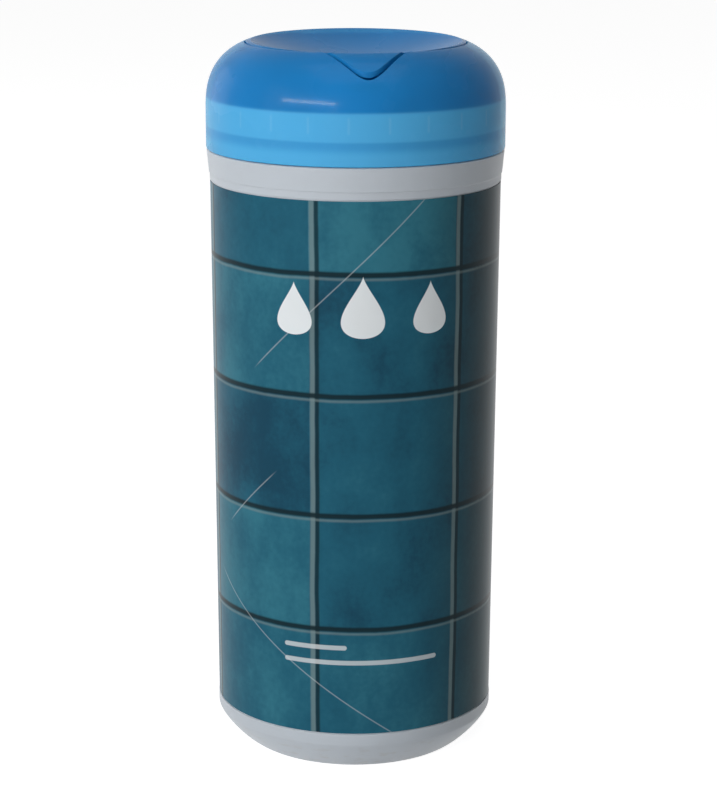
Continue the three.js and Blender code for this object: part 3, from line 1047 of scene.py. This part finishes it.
@dataclass
class Lid:
    """The push-on dome lid with its well. Sizes are in mm."""

    dome: Dome
    canister: Canister
    wall: float = 1.5
    mouth: float = 32.55
    seat: float = 207.2
    well: float = 30.3
    well_wall: float = 1.4
    deck: float = 196.9
    collar: float = 13.6
    collar_wall: float = 1.2
    collar_height: float = 4.9
    hole: float = 4.9
    slits: int = 8
    slit_reach: float = 10.4
    slit_width: float = 1.0
    plug: float = 38.7
    plug_wall: float = 1.2
    plug_bottom: float = 190.5
    bead: float = 41.75
    bead_top: float = 187.8
    bead_height: float = 3.6
    ribs: int = 24
    hinge_back: float = 30.6
    hinge_land: float = 211.4
    land_depth: float = 3.2
    land_half: float = 14.0
    scoop_reach: float = 8.5
    scoop_half: float = 12.5
    bell_power: float = 1.2
    scoop_floor: tuple[tuple[float, float], ...] = ((-32.3, 207.2), (-38.5, 201.4), (-44.5, 205.7))
    # The skirt's lighter bands are painted light where the white neck lies close behind it
    finish: TranslucentBlue = TranslucentBlue(
        painted_light_zones=((178.0, 196.3, 0.45, 0.9), (176.0, 185.6, 0.71, 1.6), (188.3, 196.3, 0.67, 0.5))
    )

    def section(self) -> Points:
        """The moulding's section, from the skirt's foot over the dome, the well and the plug ring."""
        dome, wall = self.dome, self.wall
        lower, upper = self.well + self.well_wall, self.mouth + self.well_wall
        under_deck = self.deck - self.well_wall
        ledge = self.seat - self.well_wall
        rim, bore = self.deck + self.collar_height, self.collar - self.collar_wall
        skirt = dome.radius - wall
        return [
            (dome.radius - 0.35, dome.bottom),
            (dome.radius - 0.1, dome.bottom + 0.12),
            (dome.radius, dome.bottom + 0.4),
            (dome.radius, dome.bottom + 5),
            *dome.arc(dome.radius, self.mouth + 0.3, 30),
            (self.mouth + 0.08, dome.height(self.mouth) - 0.08),
            (self.mouth, dome.height(self.mouth) - 0.3),
            (self.mouth, self.seat),
            (self.well + 0.3, self.seat),
            (self.well, self.seat - 0.3),
            (self.well, self.deck + 0.8),
            (self.well - 0.25, self.deck + 0.2),
            (self.well - 0.8, self.deck),
            (24.0, self.deck),
            (18.0, self.deck),
            (self.collar + 0.5, self.deck),
            (self.collar, self.deck + 0.5),
            (self.collar, rim - 0.3),
            (self.collar - 0.3, rim),
            (bore + 0.3, rim),
            (bore, rim - 0.3),
            (bore, self.deck),
            (self.hole + 3, self.deck),
            (self.hole + 0.2, self.deck),
            (self.hole, self.deck - 0.2),
            (self.hole, under_deck),
            (lower, under_deck),
            (lower, ledge - (upper - lower)),
            (upper, ledge),
            (upper, dome.height(upper, wall)),
            *dome.arc(upper + 0.4, self.plug - self.plug_wall, 6, wall)[1:],
            (self.plug - self.plug_wall, self.plug_bottom + 0.4),
            (self.plug - self.plug_wall + 0.4, self.plug_bottom),
            (self.plug - 0.4, self.plug_bottom),
            (self.plug, self.plug_bottom + 0.4),
            (self.plug, dome.height(self.plug, wall)),
            *dome.arc(self.plug + 0.3, skirt, 14, wall)[1:],
            (skirt, self.bead_top),
            (self.bead + 0.1, self.bead_top - self.bead_height * 0.22),
            (self.bead, self.bead_top - self.bead_height * 0.38),
            (self.bead + 0.1, self.bead_top - self.bead_height * 0.54),
            (skirt, self.bead_top - self.bead_height),
            (skirt, dome.bottom + 0.2),
            (skirt + 0.2, dome.bottom),
        ]

    def bell(self, name: str, grown: float, low: float, high: float) -> Piece:
        """A block with a bell-shaped front, as the thumb scoop is seen from above.

        Args:
            name: The block's name.
            grown: How much larger it is than the scoop.
            low: Height of its underside.
            high: Height of its top.

        Returns:
            The block.
        """
        half, back = self.scoop_half + grown, self.scoop_floor[0][0] + 6
        # The ends lie a little inside the mouth, since on its edge the boolean fails
        columns, inside = 44, 0.3
        clear_selection()
        bpy.ops.mesh.primitive_grid_add(x_subdivisions=columns, y_subdivisions=1, size=2)
        piece = newest(name)
        piece.scale = (half * MM, 1 * MM, 1)
        piece.location = (0, (back - 1) * MM, low * MM)
        bpy.ops.object.transform_apply(location=True, rotation=False, scale=True)
        mesh = enter_edit(piece)
        fronts = sorted(v.index for v in mesh.verts if v.co.y < (back - 1) * MM)
        for index in fronts:
            bpy.ops.mesh.select_all(action="DESELECT")
            mesh = bmesh.from_edit_mesh(piece.data)
            mesh.verts.ensure_lookup_table()
            vertex = mesh.verts[index]
            vertex.select_set(True)
            x = min(max(vertex.co.x / MM, -half), half)
            bell = max(math.cos(math.pi * x / (2 * half)), 0.0) ** self.bell_power
            front = inside - math.sqrt(self.mouth**2 - x**2) - (self.scoop_reach + grown + inside) * bell
            bpy.ops.transform.translate(value=(0, front * MM - vertex.co.y, 0))
        bpy.ops.mesh.select_mode(type="FACE")
        bpy.ops.mesh.select_all(action="SELECT")
        bpy.ops.mesh.extrude_region_move(TRANSFORM_OT_translate={"value": (0, 0, (high - low) * MM)})
        leave_edit()
        outward(piece)
        return piece

    def under_floor(self, grown: float) -> Piece:
        """What lies under the scoop's curved floor.

        Args:
            grown: How far the floor is lowered.

        Returns:
            The block.
        """
        (y0, z0), (y1, z1), (y2, z2) = self.scoop_floor
        steps = 16
        curve = [(y0 + 12.0, z0)]
        for step in range(steps + 1):
            t = step / steps
            a, b, c = (1 - t) ** 2, 2 * t * (1 - t), t * t
            curve.append((a * y0 + b * y1 + c * y2, a * z0 + b * z1 + c * z2))
        curve.append((y2 - 6.0, z2 + 2.4))
        piece = block("under_scoop_floor", (-20, curve[1][0], 190), (20, curve[0][0], z0 - grown))
        enter_edit(piece, "FACE")
        for (y, z), (next_y, next_z) in zip(curve[1:], curve[2:]):
            select_where(piece, lambda place: abs(place.y - y * MM) < 1e-6)
            move = (0, (next_y - y) * MM, 0)
            bpy.ops.mesh.extrude_region_move(TRANSFORM_OT_translate={"value": move})
            select_where(piece, lambda place: abs(place.y - next_y * MM) < 1e-6 and place.z > 0.195)
            bpy.ops.transform.translate(value=(0, 0, (next_z - z) * MM))
        leave_edit()
        outward(piece)
        return piece

    def scoop(self, name: str, grown: float) -> Piece:
        """The room of the thumb scoop, made larger by a thickness."""
        return change(self.bell(name, grown, 198.0, HIGH_CLEAR), Join.CUT, self.under_floor(grown))

    def rib_ring(self) -> Piece:
        """The fine ribs inside the skirt, as one piece of several parts."""
        skirt = self.dome.radius - self.wall
        inner = self.canister.neck_radius + 0.3
        first = block("grip_ribs", (-0.5, -(skirt + 0.7), 190.6), (0.5, -inner, 195.6))
        eased(first, 0.15, 60, 2)
        copies = [first]
        for index in range(self.ribs):
            rib = copy_of(first, f"grip_rib_{index}")
            turn_by(-(index + 0.5) / self.ribs * math.tau)
            copies.append(rib)
        clear_selection()
        bpy.data.objects.remove(copies.pop(0))
        for rib in copies:
            rib.select_set(True)
        bpy.context.view_layer.objects.active = copies[0]
        bpy.ops.object.join()
        apply_place()
        return copies[0]

    def slit_star(self) -> Piece:
        """The star of slits around the hole, as one cutter."""
        half = self.slit_width / 2
        bottom, top = self.deck - self.well_wall - 1, self.deck + 1
        star = block("slit_star", (-self.slit_reach, -half, bottom), (self.slit_reach, half, top))
        eased(star, 0.45, 60, 3)
        choose(star)
        turn_by(-math.pi / self.slits)
        blades = [star]
        for index in range(1, self.slits // 2):
            blade = copy_of(star, f"slit_{index}")
            turn_by(-index * math.tau / self.slits)
            blades.append(blade)
        return change(star, Join.ADD, *blades[1:])

    def build(self) -> Piece:
        """Builds and dresses the lid."""
        piece = turned("dome_lid", self.section(), FLATS, True)
        room = self.dome.solid("dome_room", LOW_CLEAR)
        bowl = change(self.scoop("scoop_bowl", self.wall), Join.KEEP, room)
        mouth_low = self.seat - 1.0
        filler = ring("hinge_filler", self.mouth + 0.6, 3, mouth_low, self.hinge_land)
        change(filler, Join.KEEP, block("behind_mouth", (-12.5, self.hinge_back, 200), (12.5, 40, 215)))
        change(piece, Join.ADD, self.trim_bowl(bowl), filler, self.rib_ring())
        front, back = self.hinge_back - 1.2, self.hinge_back + self.land_depth
        low = (-self.land_half, front, self.hinge_land)
        land = block("hinge_land", low, (self.land_half, back, 225))
        change(piece, Join.CUT, self.scoop("scoop_room", 0.0), self.slit_star(), land)
        outward(piece)
        eased(piece, 0.18, 48, 2)
        outward(piece)
        settle(piece, 34)
        dress(piece, self.finish.make())
        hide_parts("lid")
        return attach(piece, Body.CLOSURE.value)

    def trim_bowl(self, bowl: Piece) -> Piece:
        """Takes from the scoop's bowl what would stand in the well."""
        top = self.seat
        low = ring("well_low", self.well, 2, LOW_CLEAR, top + 1)
        mouth = ring("well_mouth", self.mouth, 2, top, HIGH_CLEAR)
        return change(bowl, Join.CUT, low, mouth)


@dataclass
class FlipCap:
    """The dished flip cap with its tab. Sizes are in mm.

    The clear is what keeps two surfaces from lying exactly on each other in a boolean.
    """

    dome: Dome
    lid: Lid
    radius: float = 32.15
    wall: float = 1.4
    bottom: float = 207.5
    back: float = 29.4
    chamfer: float = 0.5
    dish_front: float = 32.0
    dish_back: float = 28.5
    dish_depth: float = 6.0
    rim_front: float = 211.6
    rim_back: float = 213.1
    seal_gap: float = 0.3
    tab_reach: float = 7.35
    tab_half: float = 11.0
    tab_thickness: float = 1.6
    clear: float = 0.02
    finish: TranslucentBlue = field(default_factory=lambda: TranslucentBlue("translucent_blue_cap"))

    def ball(self, name: str, grown: float) -> Piece:
        """The ball that hollows the dish, made larger by a thickness."""
        reach = (self.dish_front + self.dish_back) / 2
        radius = (reach**2 + self.dish_depth**2) / (2 * self.dish_depth)
        lean = math.atan((self.rim_back - self.rim_front) / (2 * reach))
        span = math.asin((reach + 7) / radius)
        outer = radius + grown
        steps = 26
        turns = [span * i / steps for i in range(1, steps + 1)]
        arc = [(outer * math.sin(turn), -outer * math.cos(turn)) for turn in turns]
        profile = [*arc, (arc[-1][0], -radius * 0.75), (2, -radius * 0.75)]
        piece = turned(name, profile, FLATS, False)
        choose(piece)
        bpy.ops.transform.translate(value=(0, 0, (radius - self.dish_depth) * MM))
        turn_by(-lean, "X")
        middle = ((self.dish_back - self.dish_front) / 2, (self.rim_front + self.rim_back) / 2)
        bpy.ops.transform.translate(value=(0, middle[0] * MM, middle[1] * MM))
        apply_place()
        return piece

    def tab(self) -> Piece:
        """The tab, which follows the dome and is as thick all over."""
        outline = Lid(
            self.dome,
            self.lid.canister,
            mouth=self.radius,
            scoop_reach=self.tab_reach,
            scoop_half=self.tab_half,
        )
        piece = outline.bell("tab_block", 0.0, 202.0, HIGH_CLEAR)
        change(piece, Join.KEEP, self.dome.solid("over_tab", 185.0, self.clear))
        change(piece, Join.CUT, self.dome.solid("under_tab", 180.0, self.tab_thickness))
        return change(piece, Join.CUT, ring("tab_inner", self.radius - 0.9, 2, 198, HIGH_CLEAR))

    def build(self) -> Piece:
        """Builds and dresses the cap."""
        crown = self.dome.arc(self.radius, self.dome.crown, 24)
        profile = [(3, self.bottom), (self.radius, self.bottom), *crown, (3, crown[-1][1])]
        piece = turned("flip_cap_shell", profile, FLATS, False)
        inner = self.radius - self.wall
        room = disc("cap_room", inner, 200, 210.2)
        change(room, Join.CUT, block("room_back", (-40, self.back - self.wall, 190), (40, 45, 215)))
        change(room, Join.CUT, self.ball("skin_ball", self.wall))
        change(piece, Join.CUT, room)
        skin = disc("dish_skin", inner + 0.5, 200, 209.6)
        change(skin, Join.KEEP, self.ball("skin_under", self.wall - self.clear))
        lid = self.lid
        seal_low = lid.deck + lid.collar_height + self.seal_gap
        bore = lid.collar - lid.collar_wall
        top = 208.5
        profile = [(bore, seal_low), (lid.collar, seal_low), (lid.collar, top), (bore, top)]
        seal = turned("seal_ring", profile, FLATS, True)
        for part in (skin, seal, self.tab()):
            change(piece, Join.ADD, part)
            outward(piece)
        change(piece, Join.CUT, self.ball("dish", 0.0))
        outward(piece)
        change(piece, Join.CUT, self.behind())
        outward(piece)
        eased(piece, 0.22, 30, 2)
        outward(piece)
        settle(piece, 34)
        dress(piece, self.finish.make())
        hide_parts("flip_cap")
        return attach(piece, Body.CAP.value)

    def behind(self) -> Piece:
        """What lies behind the cap's back edge, with that edge's chamfer."""
        piece = block("behind_cap", (-40, self.back, 195), (40, 45, self.rim_back + 2))
        enter_edit(piece, "VERT")
        bpy.ops.mesh.select_all(action="SELECT")
        edge = self.rim_back - self.chamfer
        bpy.ops.mesh.bisect(plane_co=(0, 0, edge * MM), plane_no=(0, 0, 1))
        select_where(piece, lambda place: place.y < (self.back + 1) * MM and place.z > (edge + 1) * MM)
        bpy.ops.transform.translate(value=(0, -(2 + self.chamfer) * MM, 0))
        leave_edit()
        outward(piece)
        return piece


@dataclass
class HingeWeb:
    """The thin web across the back of the cap, which bends as the cap opens. Sizes are in mm."""

    lid: Lid
    cap: FlipCap
    half_width: float = 10.5
    thickness: float = 0.5
    bury: float = 0.25

    def build(self) -> Piece:
        """Builds the web, finely divided, between the lid and the cap."""
        front, back = self.cap.back - self.bury, self.lid.hinge_back + self.bury
        level = self.lid.hinge_land - self.thickness / 2
        clear_selection()
        bpy.ops.mesh.primitive_grid_add(x_subdivisions=14, y_subdivisions=14, size=1)
        piece = newest("living_hinge_web")
        piece.scale = (2 * self.half_width * MM, (back - front) * MM, 1)
        piece.location = (0, (front + back) / 2 * MM, level * MM)
        apply_place()
        apply_modifier(piece, "SOLIDIFY", thickness=self.thickness * MM, offset=0)
        settle(piece)
        dress(piece, TranslucentBlue("translucent_blue_web").make())
        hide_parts("living_hinge")
        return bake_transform(piece)


@dataclass
class WipesRoll:
    """The roll of wipes and the wipe that is drawn up from it. Sizes are in mm."""

    radius: float = 38.4
    core: float = 12.0
    bottom: float = 3.9
    height: float = 178.0
    foot_radius: float = 31.8
    foot_height: float = 5.7
    ridges: int = 4
    ridge: float = 1.0
    strand: float = 3.8
    bulge: float = 6.0
    strand_foot: float = 168.0
    strand_top: float = 201.4
    folds: int = 6
    finish: WetCloth = field(default_factory=WetCloth)

    def section(self) -> Points:
        """The roll's section."""
        top = self.bottom + self.height
        points = [
            (self.core, self.bottom),
            (self.foot_radius, self.bottom),
            (self.foot_radius + 3.5, self.bottom + 2.4),
            (self.radius, self.bottom + self.foot_height),
        ]
        points += [(self.radius, self.bottom + self.foot_height + step * 40) for step in range(1, 5)]
        points.append((self.radius, top - self.ridge))
        steps = 6 * self.ridges
        outer, inner = self.radius - 0.8, self.core + 0.8
        for step in range(steps + 1):
            wave = (1 - math.cos(step / steps * self.ridges * math.tau)) / 2
            points.append((outer + (inner - outer) * step / steps, top - self.ridge * (1 - wave)))
        points += [(self.core, top - self.ridge), (self.core, top - 20)]
        return points

    def drawn_wipe(self) -> Piece:
        """The first wipe, gathered in folds, from the core's side up through the lid's hole."""
        top = self.bottom + self.height
        outline = [
            (self.strand - 1.0, self.strand_foot),
            (self.bulge - 1.0, top - 5),
            (self.bulge, top + 1),
            (self.strand + 0.7, 188.0),
            (self.strand, 191.4),
            (self.strand, self.strand_top - 2),
            (self.strand - 0.4, self.strand_top - 0.6),
            (self.strand - 1.2, self.strand_top),
        ]
        fine = []
        for (r0, z0), (r1, z1) in zip(outline, outline[1:]):
            fine += [(r0 + (r1 - r0) * i / 4, z0 + (z1 - z0) * i / 4) for i in range(4)]
        fine.append(outline[-1])
        piece = turned("drawn_wipe", fine, 72, False)
        mesh = enter_edit(piece)
        levels = sorted({round(vertex.co.z, 6) for vertex in mesh.verts})
        for level in levels:
            self.fold_level(piece, level)
        leave_edit()
        return piece

    def fold_level(self, piece: Piece, level: float) -> None:
        """Draws one level of the gathered wipe in at its folds and moves it to its place.

        Args:
            piece: The wipe, open in edit mode.
            level: The level's height in metres, as the mesh holds it.
        """

        def at_level(place: Vector) -> bool:
            return abs(place.z - level) < 2e-6

        def in_fold(place: Vector) -> bool:
            return at_level(place) and math.cos(self.folds * math.atan2(place.y, place.x)) < -0.4

        middle = (0, 0, level)
        select_where(piece, in_fold)
        bpy.ops.transform.resize(value=(0.80, 0.80, 1), center_override=middle)
        select_where(piece, at_level)
        share = min(max((level / MM - self.strand_foot) / (192.4 - self.strand_foot), 0.0), 1.0)
        aside = (1 - share * share * (3 - 2 * share)) * (self.core - 1)
        turn = 0.9 * (level / MM - self.strand_foot) / 36
        turn_by(turn, middle=middle)
        bpy.ops.transform.translate(value=(aside * MM, 0, 0))

    def build(self) -> Piece:
        """Builds and dresses the roll with its drawn wipe."""
        piece = turned("wound_wipes", self.section(), FLATS, True)
        change(piece, Join.ADD, self.drawn_wipe())
        settle(piece, 60)
        dress(piece, self.finish.make())
        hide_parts("wipes_roll")
        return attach(piece, Body.CANISTER.value)


# The studio


@dataclass
class Studio:
    """The camera at the photograph's angle, a pale floor and soft light. Angles are in degrees."""

    distance: float = 715.8
    height: float = 282.3
    pitch: float = 13.968
    turn: float = -5.0
    roll: float = 0.158
    focal_pixels: float = 2441.8
    image_height: float = 800.0
    side_pixels: float = 3.59
    floor_glow: float = 0.93
    surround: float = 0.06
    lamps: tuple[tuple[str, float, float, float, tuple[float, float], float], ...] = (
        ("key_lamp", -36, 18, 1.5, (1.15, 0.12), 13),
        ("top_lamp", 5, 78, 1.8, (1.5, 1.5), 10),
        ("left_lamp", -64, 14, 1.5, (0.5, 1.2), 2.0),
        ("back_lamp", -128, 8, 1.7, (0.9, 0.9), 3.0),
        ("low_lamp", -16, -2, 1.7, (0.10, 0.9), 0.9),
    )

    def camera(self) -> None:
        """Makes the camera."""
        data = bpy.data.cameras.new("studio_camera")
        camera = bpy.data.objects.new("studio_camera", data)
        bpy.context.scene.collection.objects.link(camera)
        turn = Matrix.Rotation(math.radians(self.turn), 4, "Z")
        tilt = Matrix.Rotation(math.radians(90 - self.pitch), 4, "X")
        roll = Matrix.Rotation(math.radians(self.roll), 4, "Z")
        place = Matrix.Translation((0, -self.distance * MM, self.height * MM))
        camera.matrix_world = turn @ place @ tilt @ roll
        data.sensor_width = 36.0
        data.lens = self.focal_pixels / self.image_height * data.sensor_width
        data.shift_x = self.side_pixels / self.image_height
        data.clip_start, data.clip_end = 0.01, 50.0
        bpy.context.scene.camera = camera

    def floor(self) -> None:
        """Lays the pale floor, which keeps the object's shadow."""
        clear_selection()
        bpy.ops.mesh.primitive_plane_add(size=16, location=(0, 0, 0))
        floor = newest("studio_floor")
        material = bpy.data.materials.new("pale_floor")
        material.use_nodes = True
        tree = material.node_tree
        tree.nodes.clear()
        seen = self.seen_rays(tree)
        plain = self.node(tree, "BsdfDiffuse", Color=(0.80, 0.80, 0.80, 1))
        lit = self.node(tree, "BsdfDiffuse", Color=(0.38, 0.38, 0.38, 1))
        glow = self.node(tree, "Emission", Color=(1, 1, 1, 1), Strength=self.floor_glow)
        both = self.node(tree, "AddShader")
        tree.links.new(lit.outputs[0], both.inputs[0])
        tree.links.new(glow.outputs[0], both.inputs[1])
        self.pick(tree, seen, plain, both, "OutputMaterial")
        floor.data.materials.append(material)

    def node(self, tree: bpy.types.NodeTree, kind: str, **values: object) -> Node:
        """Adds a node of a kind and sets its inputs, which are given by name."""
        node = tree.nodes.new("ShaderNode" + kind)
        for key, value in values.items():
            node.inputs[key].default_value = value
        return node

    def pick(self, tree: bpy.types.NodeTree, seen: Socket, other: Node, shown: Node, kind: str) -> None:
        """Ends a tree with one shader for the rays that see the background and one for the others.

        Args:
            tree: The tree.
            seen: 1 for the rays that see the background.
            other: The shader for the other rays.
            shown: The shader for the rays that see it.
            kind: The kind of output.
        """
        pick, out = self.node(tree, "MixShader"), self.node(tree, kind)
        tree.links.new(seen, pick.inputs[0])
        tree.links.new(other.outputs[0], pick.inputs[1])
        tree.links.new(shown.outputs[0], pick.inputs[2])
        tree.links.new(pick.outputs[0], out.inputs[0])

    def seen_rays(self, tree: bpy.types.NodeTree) -> Socket:
        """1 for the rays that show the background itself, straight, mirrored or through glass."""
        path = tree.nodes.new("ShaderNodeLightPath")
        total = path.outputs["Is Camera Ray"]
        for name in ("Is Glossy Ray", "Is Transmission Ray"):
            larger = tree.nodes.new("ShaderNodeMath")
            larger.operation = "MAXIMUM"
            tree.links.new(total, larger.inputs[0])
            tree.links.new(path.outputs[name], larger.inputs[1])
            total = larger.outputs[0]
        return total

    def world(self) -> None:
        """Sets the plain surrounding light and the white background."""
        world = bpy.data.worlds.new("studio_world")
        bpy.context.scene.world = world
        world.use_nodes = True
        tree = world.node_tree
        tree.nodes.clear()
        light = self.node(tree, "Background", Color=(1, 1, 1, 1), Strength=self.surround)
        white = self.node(tree, "Background", Color=(1, 1, 1, 1), Strength=1.0)
        self.pick(tree, self.seen_rays(tree), light, white, "OutputWorld")

    def lamp(
        self,
        name: str,
        azimuth: float,
        elevation: float,
        distance: float,
        size: tuple[float, float],
        power: float,
    ) -> None:
        """Hangs one soft rectangular lamp that faces the canister.

        Args:
            name: The lamp's name.
            azimuth: Angle from the camera's side, positive to the right as the camera sees it.
            elevation: Angle above the canister's middle.
            distance: Distance from it in metres.
            size: Width and height in metres.
            power: Power in watts.
        """
        data = bpy.data.lights.new(name, "AREA")
        data.shape = "RECTANGLE"
        data.size, data.size_y = size
        data.energy = power
        lamp = bpy.data.objects.new(name, data)
        bpy.context.scene.collection.objects.link(lamp)
        a, e = math.radians(azimuth + self.turn), math.radians(elevation)
        back = Vector((math.sin(a) * math.cos(e), -math.cos(a) * math.cos(e), math.sin(e)))
        middle = Vector((0, 0, 0.12))
        lamp.location = middle + back * distance
        lamp.rotation_euler = (-back).to_track_quat("-Z", "Y").to_euler()

    def build(self) -> None:
        """Sets up floor, world and lamps."""
        self.floor()
        self.world()
        for values in self.lamps:
            self.lamp(*values)
        bpy.context.scene.view_settings.view_transform = "Standard"


def clear_leftovers() -> None:
    """Removes what a new file holds by itself."""
    for name in ("Cube", "Light", "Camera"):
        leftover = bpy.data.objects.get(name)
        if leftover is not None:
            bpy.data.objects.remove(leftover)


def main() -> None:
    """Builds the scene."""
    logging.basicConfig(level=logging.INFO, format="%(name)s: %(message)s")
    clear_leftovers()
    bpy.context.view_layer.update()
    studio = Studio()
    studio.camera()
    dome, canister = Dome(), Canister()
    lid = Lid(dome, canister)
    cap = FlipCap(dome, lid)
    for assembly in (canister, Label(canister), WipesRoll(), lid, cap, HingeWeb(lid, cap)):
        piece = assembly.build()
        LOG.info("%s has %d faces", piece.name, len(piece.data.polygons))
    studio.build()


if __name__ == "__main__":
    main()
